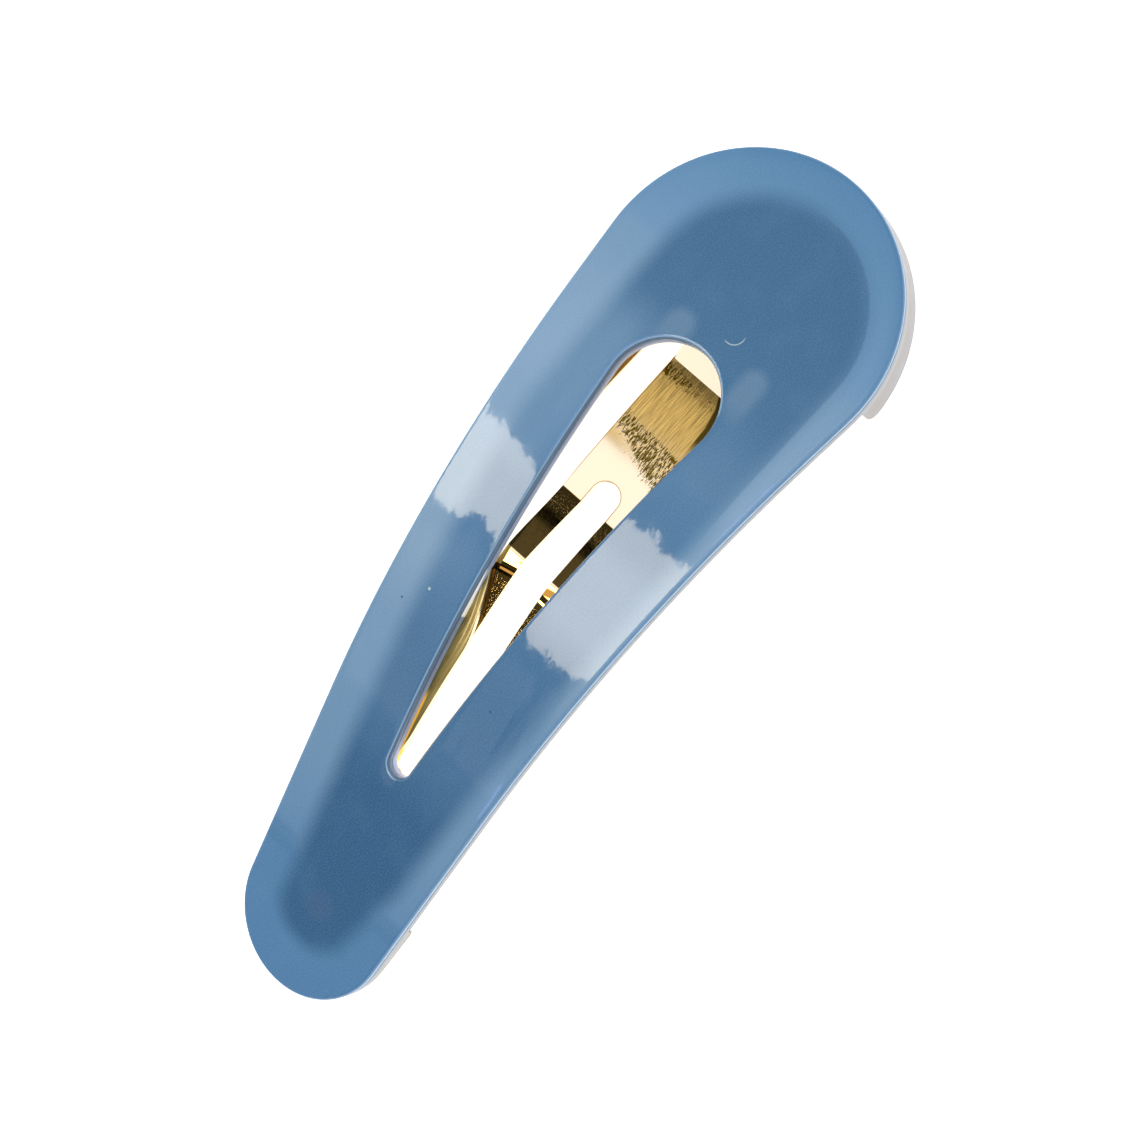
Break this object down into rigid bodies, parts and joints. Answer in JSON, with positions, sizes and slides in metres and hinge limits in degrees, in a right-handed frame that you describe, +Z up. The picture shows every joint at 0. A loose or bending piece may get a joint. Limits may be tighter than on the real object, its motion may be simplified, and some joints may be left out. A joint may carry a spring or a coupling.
{
  "type": "snap hair clip",
  "caption": "Arched drop-shaped snap hair clip: plastic face and backing with a long window, sprung steel frame and forked tongue below that snaps shut under its legs.",
  "frame": {"origin": "middle of the clip's outline on the table that it rests on, face up", "axes": "+X along the clip to its wide end, +Y across it, +Z up out of the face"},
  "size_m": [0.0706, 0.0232, 0.0089],
  "materials": {
    "cover": "glossy, slightly see-through blue",
    "backing": "satin, pale and a little cloudy",
    "frame": "gilt, brushed lengthwise",
    "tongue": "gilt, brushed lengthwise",
    "rivet": "gilt, worn"
  },
  "bodies": {
    "clip": {"cover": "cover", "backing": "backing", "frame": "frame", "rivet": "rivet"},
    "tongue": {"tongue": "tongue"}
  },
  "joints": [
    {"name": "tongue_snap", "type": "hinge", "parent": "clip", "child": "tongue", "pos_m": [0.02067, 0, 0.0036], "axis": [0, -1, 0], "range_deg": [0, 25]}
  ]
}
